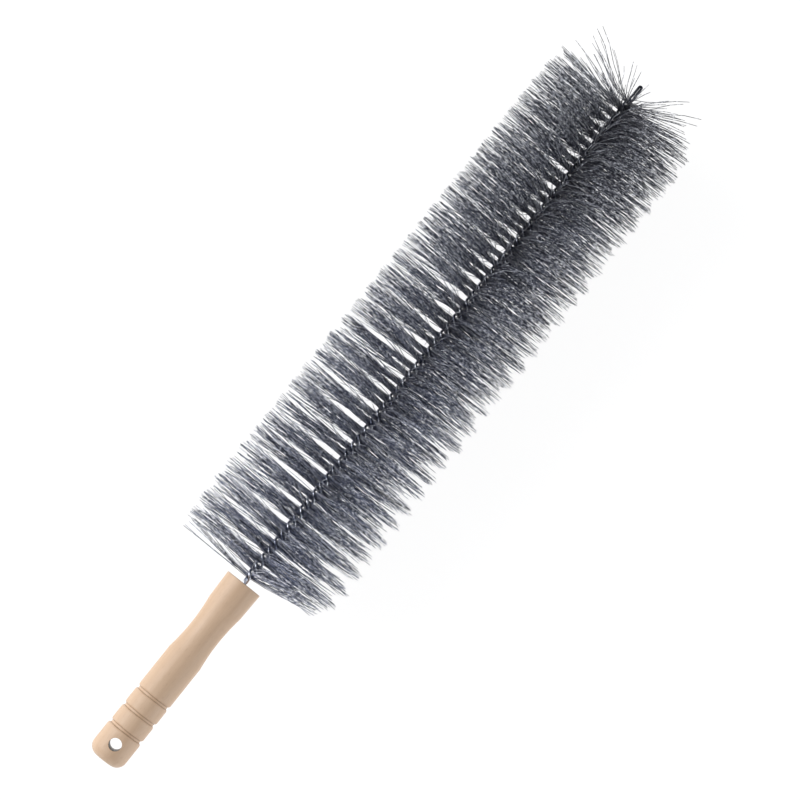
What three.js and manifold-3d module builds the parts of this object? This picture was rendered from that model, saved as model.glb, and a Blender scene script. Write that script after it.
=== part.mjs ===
// Fan cleaning brush: a spiral of filaments clamped in a twisted wire hairpin,
// whose tails sit in the socket of a round turned handle.
// Millimetres, +Z up. The brush lies along X, butt first, on its filaments.
import * as THREE from "three";
import { mergeVertices } from "three/addons/utils/BufferGeometryUtils.js";
import Module from "manifold-3d";

// Handle, measured along its axis from the butt
const barrelLength = 64.3; // butt to the start of the waist
const waistLength = 31.5; // a shallow scoop for the thumb and forefinger
const neckLength = 15.2; // waist to mouth
const buttRadius = 9.95; // butt to the first groove
const barrelRadius = 9.68;
const waistRadius = 8.5;
const mouthRadius = 10.1;
const buttRounding = 5.5;
const mouthRounding = 0.4;
const handleFacets = 32;
const curveSteps = 3; // facets along each curved stretch of the profile

// Grip grooves round the barrel
const grooveCount = 3;
const firstGroove = 17.9; // butt to the middle of the first groove
const groovePitch = 10.6;
const grooveFloor = 1.4; // width of the flat bottom
const grooveDepth = 0.9;
const grooveShoulder = 1.3; // length of each rounded edge

// Hanging hole, straight through the butt
const holeRadius = 3.3;
const holeFromButt = 10.1;
const holeFacets = 28;

// Wire: one length folded at the brush tip, both legs twisted left-handed
const wireRadius = 0.7;
const wireSides = 5;
const twistPitch = 10.2;
const stepsPerTurn = 8;
const legGap = 0.5; // between the legs where nothing parts them
const filamentLayer = 1.7; // between the legs where they clamp the filaments
const socketDepth = 45;
const countersink = 0.8; // at the mouth of the socket
const bareWire = 3.1; // mouth to the first filament
const closingLength = 3; // where the legs close up again past the last filament
const tipLength = 8.2; // last filament to the outside of the fold
const foldSteps = 6;

// Filaments, each clamped at its middle so that it gives two strands
const brushLength = 310; // the filaments fill this much of the wire
const brushRadius = 43.75;
const goldenShare = (Math.sqrt(5) - 1) / 2;
const perHalfTurn = 4 - goldenShare; // filaments in half a turn, so that no two line up along the brush
const sectionCount = 4;
const strandSides = 3;
const middleSides = 4;
const strandInset = 0.04; // how much finer a strand is than the squeezed middles
const rootReach = 3.2; // the strands run square to the axis out to here
const raggedness = 4.5; // most that a strand falls short of the brush radius
const pairLean = 1.35; // how far neighbouring half turns lean towards each other by the handle
const pairFade = 0.45; // share of that lean which is lost by the tip
const strayLean = 2.2; // most that a strand strays along the brush besides
const tipSplay = THREE.MathUtils.degToRad(42); // lean of the last strands, towards the tip
const tipSplayFade = 2.6; // length over which that lean fades
const mouthSplay = THREE.MathUtils.degToRad(13); // lean of the first strands, also towards the tip
const mouthSplayFade = 8;
const splayWear = 0.3; // share that a strand would lose if it lay along the axis
const lengthPrime = 2; // scatters the strands' lengths
const strayPrime = 3; // scatters their lean
const lengthPower = 3; // keeps most strands near the full length
const restDepth = 0.5; // flattening of the strands that the brush lies on

// Gap kept between pieces that touch, and the distance within which corners are one
const clearance = 0.3;
const weldDistance = 1e-4;

// Places and sizes that follow from the ones above
const handleLength = barrelLength + waistLength + neckLength;
const closeRadius = wireRadius + legGap / 2;
const spreadRadius = wireRadius + filamentLayer / 2;
const chordSag = spreadRadius * (1 - Math.cos(Math.PI / stepsPerTurn));
const rootRadius = filamentLayer / 2 - clearance - chordSag;
const strandRadius = rootRadius - strandInset;
const socketRadius = closeRadius + wireRadius + clearance;
const filamentSpacing = twistPitch / 2 / perHalfTurn;
const filamentCount = Math.floor(brushLength / filamentSpacing) + 1;
const firstFilament = handleLength + bareWire;
const lastFilament = firstFilament + (filamentCount - 1) * filamentSpacing;
const twistStart = handleLength - socketDepth + clearance;
const spreadStart = firstFilament - filamentSpacing / 2;
const twistEnd = lastFilament + filamentSpacing / 2;
const foldCentre = lastFilament + tipLength - wireRadius - closeRadius;

const handleBeech = new THREE.MeshStandardMaterial({ color: 0xd6b795, roughness: 0.5, metalness: 0 });
const wireSteel = new THREE.MeshStandardMaterial({ color: 0xa7a9ac, roughness: 0.35, metalness: 1 });
const filamentNylon = new THREE.MeshStandardMaterial({ color: 0x343944, roughness: 0.55, metalness: 0 });

const wasm = await Module();
wasm.setup();

// Closed geometry as a solid that can be joined and cut.
function solidOf(geometry) {
  const bare = geometry.clone();
  bare.deleteAttribute("normal");
  bare.deleteAttribute("uv");
  const merged = mergeVertices(bare, weldDistance);
  const vertProperties = new Float32Array(merged.attributes.position.array);
  const triVerts = new Uint32Array(merged.index.array);
  return new wasm.Manifold(new wasm.Mesh({ numProp: 3, vertProperties, triVerts }));
}

// Geometry of a joined or cut solid.
function geometryOf(solid) {
  const mesh = solid.getMesh();
  const geometry = new THREE.BufferGeometry();
  geometry.setAttribute("position", new THREE.BufferAttribute(mesh.vertProperties, 3));
  geometry.setIndex(new THREE.BufferAttribute(mesh.triVerts, 1));
  geometry.computeVertexNormals();
  return geometry;
}

// A run of straight stretches that a section is swept along, one step for each stretch.
class Route extends THREE.Curve {
  constructor(points) {
    super();
    this.points = points;
    this.last = points.length - 1;
  }

  getPoint(t, target = new THREE.Vector3()) {
    const index = Math.min(Math.floor(t * this.last), this.last - 1);
    return target.lerpVectors(this.points[index], this.points[index + 1], t * this.last - index);
  }

  getPointAt(u, target) {
    return this.getPoint(u, target);
  }

  getTangentAt(u, target = new THREE.Vector3()) {
    const index = Math.round(u * this.last);
    const here = this.points[index];
    const before = this.points[Math.max(index - 1, 0)];
    const after = this.points[Math.min(index + 1, this.last)];
    const arriving = new THREE.Vector3().subVectors(here, before).normalize();
    const leaving = new THREE.Vector3().subVectors(after, here).normalize();
    return target.addVectors(arriving, leaving).normalize();
  }
}

// A round bar of few sides, swept along a run of points.
function sweptBar(points, radius, sides) {
  const corners = Array.from({ length: sides }, (_, k) => {
    const angle = (2 * Math.PI * k) / sides;
    return new THREE.Vector2(radius * Math.cos(angle), radius * Math.sin(angle));
  });
  const extrudePath = new Route(points);
  return new THREE.ExtrudeGeometry(new THREE.Shape(corners), { steps: extrudePath.last, extrudePath });
}

// Point at a distance along the axis, a radius and an angle from +Y towards +Z.
function pointAt(along, radius, angle) {
  return new THREE.Vector3(along, radius * Math.cos(angle), radius * Math.sin(angle));
}

// Direction of the first wire leg, which turns left-handed and ends lying level at the tip.
function legAngle(along) {
  return (2 * Math.PI * (twistEnd - Math.min(along, twistEnd))) / twistPitch;
}

// Handle: the outside from butt to mouth, then the socket back down to its floor.
function handleProfile() {
  const waist = barrelLength + waistLength / 2;
  const neck = barrelLength + waistLength;
  const grooveRadius = barrelRadius - grooveDepth;
  const profile = new THREE.Path();
  profile.moveTo(0, 0);
  profile.lineTo(buttRadius - buttRounding, 0);
  profile.absarc(buttRadius - buttRounding, buttRounding, buttRounding, -Math.PI / 2, 0, false);
  for (let k = 0; k < grooveCount; k += 1) {
    const low = firstGroove + k * groovePitch - grooveFloor / 2;
    const high = low + grooveFloor;
    const radiusBefore = k === 0 ? buttRadius : barrelRadius;
    profile.lineTo(radiusBefore, low - grooveShoulder);
    profile.quadraticCurveTo(radiusBefore, low, grooveRadius, low);
    profile.lineTo(grooveRadius, high);
    profile.quadraticCurveTo(barrelRadius, high, barrelRadius, high + grooveShoulder);
  }
  profile.lineTo(barrelRadius, barrelLength);
  profile.quadraticCurveTo(waistRadius, (barrelLength + waist) / 2, waistRadius, waist);
  profile.quadraticCurveTo(waistRadius, (waist + neck) / 2, barrelRadius, neck);
  profile.lineTo(mouthRadius, handleLength - mouthRounding);
  profile.lineTo(mouthRadius - mouthRounding, handleLength);
  profile.lineTo(socketRadius + countersink, handleLength);
  profile.lineTo(socketRadius, handleLength - countersink);
  profile.lineTo(socketRadius, handleLength - socketDepth);
  profile.lineTo(0, handleLength - socketDepth);
  return profile.getPoints(curveSteps);
}

function handleGeometry() {
  const body = new THREE.LatheGeometry(handleProfile(), handleFacets);
  body.rotateZ(-Math.PI / 2);
  const hole = new THREE.CylinderGeometry(holeRadius, holeRadius, 3 * barrelRadius, holeFacets);
  hole.rotateX(Math.PI / 2);
  hole.translate(holeFromButt, 0, 0);
  return geometryOf(solidOf(body).subtract(solidOf(hole)));
}

// Distance of each leg from the axis: close in the socket, parted by the filaments, close at the fold.
function legRadius(along) {
  const opening = THREE.MathUtils.smoothstep(along, handleLength, spreadStart);
  const closing = THREE.MathUtils.smoothstep(along, twistEnd, twistEnd + closingLength);
  return THREE.MathUtils.lerp(closeRadius, spreadRadius, opening - closing);
}

// One leg from its tail in the socket to the start of the fold.
function legPoints(turnedBy) {
  const stepLength = twistPitch / stepsPerTurn;
  const twistSteps = Math.ceil((twistEnd - twistStart) / stepLength);
  const closingSteps = Math.ceil(closingLength / stepLength);
  const stations = [];
  for (let k = 0; k < twistSteps; k += 1) {
    stations.push(twistStart + (k / twistSteps) * (twistEnd - twistStart));
  }
  for (let k = 0; k <= closingSteps; k += 1) {
    stations.push(twistEnd + (k / closingSteps) * closingLength);
  }
  return stations.map((along) => pointAt(along, legRadius(along), legAngle(along) + turnedBy));
}

// Half circle at the tip, from the first leg over to the second.
function foldPoints() {
  return Array.from({ length: foldSteps + 1 }, (_, k) => {
    const turn = (Math.PI * k) / foldSteps;
    return new THREE.Vector3(foldCentre + closeRadius * Math.sin(turn), closeRadius * Math.cos(turn), 0);
  });
}

function wireGeometry() {
  const leg = legPoints(0);
  const otherLeg = legPoints(Math.PI).reverse();
  console.log(`least gap between the wire's legs: ${leastGap(leg, otherLeg).toFixed(2)} mm`);
  return sweptBar([...leg, ...foldPoints(), ...otherLeg], wireRadius, wireSides);
}

// Least clear distance between the two legs, on the points that they run through.
function leastGap(leg, otherLeg) {
  const distances = leg.map((point) => Math.min(...otherLeg.map((other) => point.distanceTo(other))));
  return Math.min(...distances) - 2 * wireRadius;
}

// Evenly scattered share from 0 to 1 for a numbered strand, with no link between two primes.
function scatter(strand, prime) {
  return (strand * Math.sqrt(prime)) % 1;
}

// Lean of a strand towards the tip, which grows towards both ends of the brush.
function strandLean(along) {
  const nearTip = Math.exp((along - lastFilament) / tipSplayFade);
  const nearMouth = Math.exp((firstFilament - along) / mouthSplayFade);
  return tipSplay * nearTip + mouthSplay * nearMouth;
}

// How far neighbouring half turns lean towards each other at their tips.
function pairedLean(along) {
  const progress = (along - firstFilament) / (lastFilament - firstFilament);
  return pairLean * (1 - pairFade * progress);
}

// One filament from tip to tip through the core, square to the line between the wire legs.
function filamentPoints(index) {
  const along = firstFilament + index * filamentSpacing;
  const lean = strandLean(along);
  const half = (strand, side) => {
    const angle = legAngle(along) + (side * Math.PI) / 2;
    const shortfall = raggedness * scatter(strand, lengthPrime) ** lengthPower;
    const length = (brushRadius - rootReach - shortfall) * (1 - splayWear * Math.sin(lean));
    const astray = side * pairedLean(along) + strayLean * (2 * scatter(strand, strayPrime) - 1);
    const knee = pointAt(along, rootReach, angle);
    const tipAlong = along + length * Math.sin(lean) + astray;
    const tip = pointAt(tipAlong, rootReach + length * Math.cos(lean), angle);
    return { knee, tip };
  };
  const near = half(2 * index, 1);
  const far = half(2 * index + 1, -1);
  return [near.tip, near.knee, far.knee, far.tip];
}

// A stretch of the brush: its filaments joined by their squeezed middles, flat where they lie on the ground.
function sectionGeometry(section) {
  const perSection = filamentCount / sectionCount;
  const first = Math.round(section * perSection);
  const last = Math.round((section + 1) * perSection) - 1;
  const middleLength = (last - first + 1) * filamentSpacing - clearance;
  const middle = new THREE.CylinderGeometry(rootRadius, rootRadius, middleLength, middleSides);
  middle.rotateZ(Math.PI / 2);
  middle.translate(firstFilament + ((first + last) / 2) * filamentSpacing, 0, 0);
  let bundle = solidOf(middle);
  for (let index = first; index <= last; index += 1) {
    bundle = bundle.add(solidOf(sweptBar(filamentPoints(index), strandRadius, strandSides)));
  }
  const ground = new THREE.BoxGeometry(4 * brushLength, 4 * brushRadius, 2 * brushRadius);
  ground.translate(firstFilament, 0, restDepth - 2 * brushRadius);
  return geometryOf(bundle.subtract(solidOf(ground)));
}

const brush = new THREE.Group();

function addPiece(name, geometry, material) {
  const piece = new THREE.Mesh(geometry, material);
  piece.name = name;
  brush.add(piece);
}

addPiece("handle", handleGeometry(), handleBeech);
addPiece("core_wire", wireGeometry(), wireSteel);
for (let section = 0; section < sectionCount; section += 1) {
  addPiece(`bristle_section_${section + 1}`, sectionGeometry(section), filamentNylon);
}

// The origin lies on the ground under the middle of the brush's length.
const reach = new THREE.Box3().setFromObject(brush);
brush.position.set(-(reach.min.x + reach.max.x) / 2, 0, -reach.min.z);

export default brush;
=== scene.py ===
"""Fan cleaning brush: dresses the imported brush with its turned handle, twisted wire and filaments.

The brush lies along X on a pale floor, its butt at the low end. Everything is in metres.
"""

import logging
import math
import random
from dataclasses import dataclass, field
from enum import Enum
from typing import Any, Iterable, Optional

import bmesh
import bpy
from mathutils import Matrix, Vector, noise


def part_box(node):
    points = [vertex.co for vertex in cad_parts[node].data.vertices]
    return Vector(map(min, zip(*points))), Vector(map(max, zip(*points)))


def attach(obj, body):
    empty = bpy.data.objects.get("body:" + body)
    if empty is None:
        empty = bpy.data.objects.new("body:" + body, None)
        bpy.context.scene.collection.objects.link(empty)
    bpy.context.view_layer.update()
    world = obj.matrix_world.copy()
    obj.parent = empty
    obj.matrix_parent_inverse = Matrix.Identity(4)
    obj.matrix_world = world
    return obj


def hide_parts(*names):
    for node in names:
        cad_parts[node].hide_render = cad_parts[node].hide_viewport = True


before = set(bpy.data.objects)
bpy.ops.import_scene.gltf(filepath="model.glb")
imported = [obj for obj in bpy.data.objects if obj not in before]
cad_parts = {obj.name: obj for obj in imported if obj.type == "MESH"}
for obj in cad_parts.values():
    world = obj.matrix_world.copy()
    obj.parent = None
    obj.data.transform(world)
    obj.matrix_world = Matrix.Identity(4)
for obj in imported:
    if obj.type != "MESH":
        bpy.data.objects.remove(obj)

LOG = logging.getLogger("fan_brush")
TURN = 2.0 * math.pi
BODY = "root"
BAKE_MAP = "OFBake"
SHADE = "shade"

# Distances under which two points count as one, on swept bars and on turned rings
WELD = 1e-7
SLACK = 1e-6

Socket = bpy.types.NodeSocket
Colour = tuple[float, float, float]
Triple = tuple[float, float, float]


class Slot(Enum):
    """Material slots of the record, by name; the pieces here build their own finishes and do not use them."""

    HANDLE = "handle_wood"
    WIRE = "wire_steel"
    FILAMENT = "filament_nylon"


class Side(Enum):
    """The two ends of a filament, either side of the wire that clamps its middle."""

    NEAR = 1
    FAR = -1


def ease(value: float, low: float, high: float) -> float:
    """Smooth step from 0 at low to 1 at high.

    Args:
        value: Where the step is read.
        low: Where it starts.
        high: Where it ends.

    Returns:
        The share of the step that is done, from 0 to 1.
    """
    share = min(max((value - low) / (high - low), 0.0), 1.0)
    return share * share * (3.0 - 2.0 * share)


@dataclass(frozen=True)
class BrushAxis:
    """The straight line that the brush is built round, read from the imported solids.

    Attributes:
        butt: X of the handle's butt face.
        height: Z of the axis above the floor.
        handle_length: Butt face to mouth face.
        wire_tip: Butt face to the outside of the wire's fold.
    """

    butt: float
    height: float
    handle_length: float
    wire_tip: float

    @classmethod
    def from_frame(cls) -> "BrushAxis":
        """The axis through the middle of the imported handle."""
        low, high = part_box("handle")
        wire_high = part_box("core_wire")[1]
        return cls(low[0], (low[2] + high[2]) / 2, high[0] - low[0], wire_high[0] - low[0])

    def point(self, along: float, radius: float = 0.0, angle: float = 0.0) -> Vector:
        """A point round the axis.

        Args:
            along: Distance from the butt face.
            radius: Distance from the axis.
            angle: Direction from the axis, from +Y towards +Z.

        Returns:
            The point in the row frame.
        """
        across = radius * math.cos(angle)
        return Vector((self.butt + along, across, self.height + radius * math.sin(angle)))


@dataclass(frozen=True)
class Ramp:
    """How a number is moved from one range to another, held at the ends.

    Attributes:
        low: Start of the number's range.
        high: End of it.
        at_low: What the start becomes.
        at_high: What the end becomes.
    """

    low: float
    high: float
    at_low: float = 0.0
    at_high: float = 1.0


class Recipe:
    """A material's node tree, with short calls that add and join its nodes.

    Its noise gives the finer octaves the weight OCTAVE_WEIGHT. MIX_COLOURS and MIX_RESULT are the numbers
    of the colour sockets on a Mix node.
    """

    OCTAVE_WEIGHT = 0.55
    MIX_COLOURS = (6, 7)
    MIX_RESULT = 2

    def __init__(self, name: str) -> None:
        """Makes the material with its Principled shader.

        Args:
            name: The material's name.
        """
        self.material = bpy.data.materials.new(name)
        self.material.use_nodes = True
        self.tree = self.material.node_tree
        self.shader = self.tree.nodes["Principled BSDF"]

    def feed(self, target: Socket, value: Any) -> None:
        """Joins a socket to an input, or sets the input to a constant.

        Args:
            target: The input socket.
            value: An output socket, a number or a colour.
        """
        if isinstance(value, bpy.types.NodeSocket):
            self.tree.links.new(value, target)
        elif isinstance(value, tuple) and target.type == "RGBA":
            target.default_value = (*value, 1.0)
        else:
            target.default_value = value

    def add(self, kind: str, settings: Optional[dict[str, Any]] = None, **inputs: Any) -> bpy.types.Node:
        """Adds a node.

        Args:
            kind: The node's type name after the ShaderNode prefix.
            settings: Properties of the node.
            **inputs: Input sockets by name, with _ for a space.

        Returns:
            The new node.
        """
        node = self.tree.nodes.new("ShaderNode" + kind)
        for key, value in (settings or {}).items():
            setattr(node, key, value)
        for key, value in inputs.items():
            self.feed(node.inputs[key.replace("_", " ")], value)
        return node

    def place(self, scale: Triple = (1.0, 1.0, 1.0), offset: Triple = (0.0, 0.0, 0.0)) -> Socket:
        """Object coordinates, stretched along each axis.

        Args:
            scale: Stretch along X, Y and Z.
            offset: Shift along X, Y and Z, before the stretch.

        Returns:
            The vector output.
        """
        coordinates = self.add("TexCoord").outputs["Object"]
        shifted = self.add("VectorMath", {"operation": "ADD"})
        self.feed(shifted.inputs[0], coordinates)
        self.feed(shifted.inputs[1], offset)
        scaled = self.add("VectorMath", {"operation": "MULTIPLY"})
        self.feed(scaled.inputs[0], shifted.outputs[0])
        self.feed(scaled.inputs[1], scale)
        return scaled.outputs[0]

    def cloud(self, vector: Socket, scale: float = 1.0, detail: float = 3.0) -> Socket:
        """Noise, from about 0.3 to 0.7.

        Args:
            vector: Where it is read.
            scale: Features for each unit of the vector.
            detail: Octaves of finer noise.

        Returns:
            The factor output.
        """
        node = self.add("TexNoise", None, Vector=vector, Scale=scale, Detail=detail,
                        Roughness=self.OCTAVE_WEIGHT)
        return node.outputs["Fac"]

    def span(self, value: Socket, ramp: Ramp) -> Socket:
        """A number moved from one range to another.

        Args:
            value: The number.
            ramp: Both ranges.

        Returns:
            The new number.
        """
        node = self.add("MapRange", {"clamp": True})
        for target, given in zip(node.inputs, (value, ramp.low, ramp.high, ramp.at_low, ramp.at_high)):
            self.feed(target, given)
        return node.outputs["Result"]

    def sum(self, operation: str, first: Any, second: Any) -> Socket:
        """One step of arithmetic.

        Args:
            operation: The Math node's operation.
            first: A socket or number.
            second: A socket or number.

        Returns:
            The result.
        """
        node = self.add("Math", {"operation": operation})
        self.feed(node.inputs[0], first)
        self.feed(node.inputs[1], second)
        return node.outputs[0]

    def blend(self, share: Any, first: Any, second: Any) -> Socket:
        """Two colours mixed.

        Args:
            share: How much of the second.
            first: A socket or colour.
            second: A socket or colour.

        Returns:
            The mixed colour.
        """
        node = self.add("Mix", {"data_type": "RGBA"})
        self.feed(node.inputs[0], share)
        for number, colour in zip(self.MIX_COLOURS, (first, second)):
            self.feed(node.inputs[number], colour)
        return node.outputs[self.MIX_RESULT]

    def emboss(self, height: Socket, depth: float, strength: float) -> None:
        """Raises the surface by a height.

        Args:
            height: The height, from 0 to 1.
            depth: Metres that a height of 1 stands for.
            strength: Share of the effect.
        """
        node = self.add("Bump", None, Height=height, Distance=depth, Strength=strength)
        self.feed(self.shader.inputs["Normal"], node.outputs[0])

    def finish(self, colour: Any, roughness: Any, **plain: Any) -> bpy.types.Material:
        """Feeds the shader.

        Args:
            colour: Base colour, a socket or a colour.
            roughness: A socket or a number.
            **plain: Other shader inputs, with _ for a space.

        Returns:
            The material.
        """
        self.feed(self.shader.inputs["Base Color"], colour)
        self.feed(self.shader.inputs["Roughness"], roughness)
        for key, value in plain.items():
            self.feed(self.shader.inputs[key.replace("_", " ")], value)
        return self.material


@dataclass(frozen=True)
class BeechFinish:
    """Turned beech under a thin satin oil: fine straight grain, short ray flecks, painted shade in the groove
    corners and on the wall of the hanging hole.

    A grain is the number of its features for each metre, along X, Y and Z.

    Attributes:
        pale: Colour of the early wood.
        warm: Colour of the late wood.
        fleck: Colour of the ray flecks.
        corner: Colour of the painted shade in the corners of the grooves.
        hole_shade: Colour of the painted shade on the hanging hole's wall.
        figure_grain: Grain of the early and late wood.
        pore_grain: Grain of the pores.
        ray_grain: Grain of the ray flecks.
        ray_shift: Shift that keeps the ray flecks from following the pores.
        sheen_grain: Grain of the oil's sheen.
        late_wood: How much late wood shows, by the figure.
        pore_tint: How much the pores darken the wood.
        ray_tint: How much the ray flecks show.
        sheen: Roughness of the oil.
        groove_shade_share: How much painted shade darkens the wood in a corner.
        hole_shade_share: How much painted shade darkens the hole's wall.
        hole_shade_spread: Where the painted shade ends, in radii of the hole.
        pore_depth: Depth of the pores.
        pore_strength: How much of that depth shows.
    """

    pale: Colour = (0.76, 0.545, 0.38)
    warm: Colour = (0.68, 0.47, 0.312)
    fleck: Colour = (0.54, 0.35, 0.215)
    corner: Colour = (0.36, 0.235, 0.14)
    hole_shade: Colour = (0.12, 0.07, 0.04)
    figure_grain: Triple = (9.0, 210.0, 210.0)
    pore_grain: Triple = (150.0, 2900.0, 2900.0)
    ray_grain: Triple = (340.0, 1900.0, 1900.0)
    ray_shift: Triple = (0.3, 0.1, 0.2)
    sheen_grain: Triple = (60.0, 240.0, 240.0)
    late_wood: Ramp = Ramp(0.35, 0.68)
    pore_tint: Ramp = Ramp(0.56, 0.72, 0.0, 0.22)
    ray_tint: Ramp = Ramp(0.62, 0.74, 0.0, 0.3)
    sheen: Ramp = Ramp(0.3, 0.7, 0.4, 0.54)
    groove_shade_share: float = 0.75
    hole_shade_share: float = 0.8
    hole_shade_spread: float = 1.04
    pore_depth: float = 0.00004
    pore_strength: float = 0.5

    def material(self, corners: Iterable[float], reach: float, bore: Vector,
                 bore_radius: float) -> bpy.types.Material:
        """Builds the material.

        Args:
            corners: X of each groove corner.
            reach: How far the painted shade spreads from a corner.
            bore: Middle of the drilled hanging hole.
            bore_radius: Radius of the hole.

        Returns:
            The material.
        """
        recipe = Recipe("beech_satin")
        figure = recipe.cloud(recipe.place(self.figure_grain), detail=4.0)
        pores = recipe.cloud(recipe.place(self.pore_grain), detail=2.0)
        rays = recipe.cloud(recipe.place(self.ray_grain, self.ray_shift), detail=1.0)
        wood = recipe.blend(recipe.span(figure, self.late_wood), self.pale, self.warm)
        wood = recipe.blend(recipe.span(pores, self.pore_tint), wood, self.warm)
        wood = recipe.blend(recipe.span(rays, self.ray_tint), wood, self.fleck)
        along = recipe.add("SeparateXYZ", None, Vector=recipe.place()).outputs["X"]
        # Painted shade: the wood darkens next to every groove corner.
        groove_shade: Any = 0.0
        for corner in corners:
            away = recipe.sum("ABSOLUTE", recipe.sum("SUBTRACT", along, corner), 0.0)
            corner_shade = recipe.span(away, Ramp(0.0, reach, self.groove_shade_share, 0.0))
            groove_shade = recipe.sum("MAXIMUM", groove_shade, corner_shade)
        wood = recipe.blend(groove_shade, wood, self.corner)
        # Painted shade darkens the wall of the hanging hole.
        from_bore = recipe.place((1.0, 1.0, 0.0), (-bore.x, -bore.y, 0.0))
        away = recipe.add("VectorMath", {"operation": "LENGTH"}, Vector=from_bore).outputs["Value"]
        hole_shading = Ramp(bore_radius, bore_radius * self.hole_shade_spread, self.hole_shade_share, 0.0)
        wood = recipe.blend(recipe.span(away, hole_shading), wood, self.hole_shade)
        sheen = recipe.span(recipe.cloud(recipe.place(self.sheen_grain)), self.sheen)
        recipe.emboss(pores, self.pore_depth, self.pore_strength)
        return recipe.finish(wood, sheen, Specular_IOR_Level=0.45, Coat_Weight=0.08, Coat_Roughness=0.35)


@dataclass(frozen=True)
class SteelFinish:
    """Galvanised steel wire with drawing marks, bright patches of clean zinc that also stand as painted
    glints among dull ones, and painted shade that darkens it towards the tip.

    Attributes:
        bright: Colour of the clean zinc, whose patches also stand as painted glints.
        dull: Colour of the dulled zinc.
        dark: Colour of the painted shade by the tip.
        patch_scale: Dull patches for each metre.
        mark_grain: Drawing marks for each metre, along X, Y and Z.
        dulling: How dull the zinc is, by the patches.
        tip_shade: How much painted shade darkens the zinc at the tip.
        polish: Roughness, by the drawing marks.
        mark_depth: Depth of the drawing marks.
        mark_strength: How much of that depth shows.
    """

    bright: Colour = (0.85, 0.88, 0.95)
    dull: Colour = (0.16, 0.18, 0.25)
    dark: Colour = (0.03, 0.032, 0.04)
    patch_scale: float = 420.0
    mark_grain: Triple = (900.0, 5200.0, 5200.0)
    dulling: Ramp = Ramp(0.4, 0.58)
    tip_shade: float = 0.92
    polish: Ramp = Ramp(0.3, 0.7, 0.2, 0.38)
    mark_depth: float = 0.00003
    mark_strength: float = 0.4

    def material(self, start: float, end: float) -> bpy.types.Material:
        """Builds the material.

        Args:
            start: X where the filaments start.
            end: X of the fold at the tip.

        Returns:
            The material.
        """
        recipe = Recipe("galvanised_wire")
        along = recipe.add("SeparateXYZ", None, Vector=recipe.place()).outputs["X"]
        patches = recipe.cloud(recipe.place(), self.patch_scale, detail=4.0)
        marks = recipe.cloud(recipe.place(self.mark_grain), detail=2.0)
        # Bright patches of clean zinc, which also stand as painted glints, among dull ones.
        zinc = recipe.blend(recipe.span(patches, self.dulling), self.bright, self.dull)
        # Painted shade darkens the wire from the first filament towards the tip.
        zinc = recipe.blend(recipe.span(along, Ramp(start, end, 0.0, self.tip_shade)), zinc, self.dark)
        recipe.emboss(marks, self.mark_depth, self.mark_strength)
        return recipe.finish(zinc, recipe.span(marks, self.polish), Metallic=1.0)


@dataclass(frozen=True)
class FilamentFinish:
    """Slate nylon: each filament a shade of its own, cooler by the handle and more neutral by the tip, with
    painted glints away from the core and painted shade at the roots.

    Attributes:
        cool: Colour of the filaments next to the handle.
        neutral: Colour of the filaments next to the tip.
        dark: Colour of the deepest dye, and of the shade between the roots.
        worn: Colour of the filaments worn pale, and of the painted glints.
        deep_dye: How much deeper a filament is dyed, by its own number.
        pale_wear: How much a filament is worn pale all along, by its own number.
        glint_scale: Painted glints for each metre.
        glint: Where a painted glint shows pale, by the noise.
        smudge: Where the nylon between the glints is darker.
        glint_exposure: How many painted glints a filament has, by the distance from the axis.
        root_shade: How much painted shade darkens the roots, by the distance from the axis.
        root_shade_tip: How much of that shade there is at the tip, from none at the handle.
        sheen: Roughness, by the noise of the glints.
    """

    cool: Colour = (0.225, 0.257, 0.388)
    neutral: Colour = (0.105, 0.11, 0.13)
    dark: Colour = (0.03, 0.033, 0.05)
    worn: Colour = (0.86, 0.88, 0.95)
    deep_dye: Ramp = Ramp(0.3, 0.55, 0.95, 0.0)
    pale_wear: Ramp = Ramp(0.78, 0.92, 0.0, 0.5)
    glint_scale: float = 520.0
    glint: Ramp = Ramp(0.545, 0.605)
    smudge: Ramp = Ramp(0.36, 0.46, 0.8, 0.0)
    glint_exposure: Ramp = Ramp(0.004, 0.02, 0.3, 1.0)
    root_shade: Ramp = Ramp(0.002, 0.018, 1.0, 0.0)
    root_shade_tip: float = 0.78
    sheen: Ramp = Ramp(0.3, 0.7, 0.28, 0.46)

    def material(self, start: float, end: float, height: float) -> bpy.types.Material:
        """Builds the material.

        Args:
            start: X where the filaments start.
            end: X where they end.
            height: Height of the brush axis.

        Returns:
            The material.
        """
        recipe = Recipe("slate_nylon")
        along = recipe.add("SeparateXYZ", None, Vector=recipe.place()).outputs["X"]
        own = recipe.add("Attribute", {"attribute_name": SHADE}).outputs["Fac"]
        base = recipe.blend(recipe.span(along, Ramp(start, end)), self.cool, self.neutral)
        base = recipe.blend(recipe.span(own, self.deep_dye), base, self.dark)
        base = recipe.blend(recipe.span(own, self.pale_wear), base, self.worn)
        glint_noise = recipe.cloud(recipe.place(), self.glint_scale, detail=2.0)
        across = recipe.place((0.0, 1.0, 1.0), (0.0, 0.0, -height))
        out = recipe.add("VectorMath", {"operation": "LENGTH"}, Vector=across).outputs["Value"]
        # Painted glints: pale flecks on the nylon, fewer near the core.
        pale = recipe.sum("MULTIPLY", recipe.span(glint_noise, self.glint), recipe.span(out, self.glint_exposure))
        base = recipe.blend(pale, base, self.worn)
        base = recipe.blend(recipe.span(glint_noise, self.smudge), base, self.dark)
        # Painted shade darkens the filaments near the core, more towards the tip.
        shade = recipe.span(along, Ramp(start, end, 0.0, self.root_shade_tip))
        shade = recipe.sum("MULTIPLY", recipe.span(out, self.root_shade), shade)
        base = recipe.blend(shade, base, self.dark)
        return recipe.finish(base, recipe.span(glint_noise, self.sheen), Specular_IOR_Level=0.55)


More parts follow.
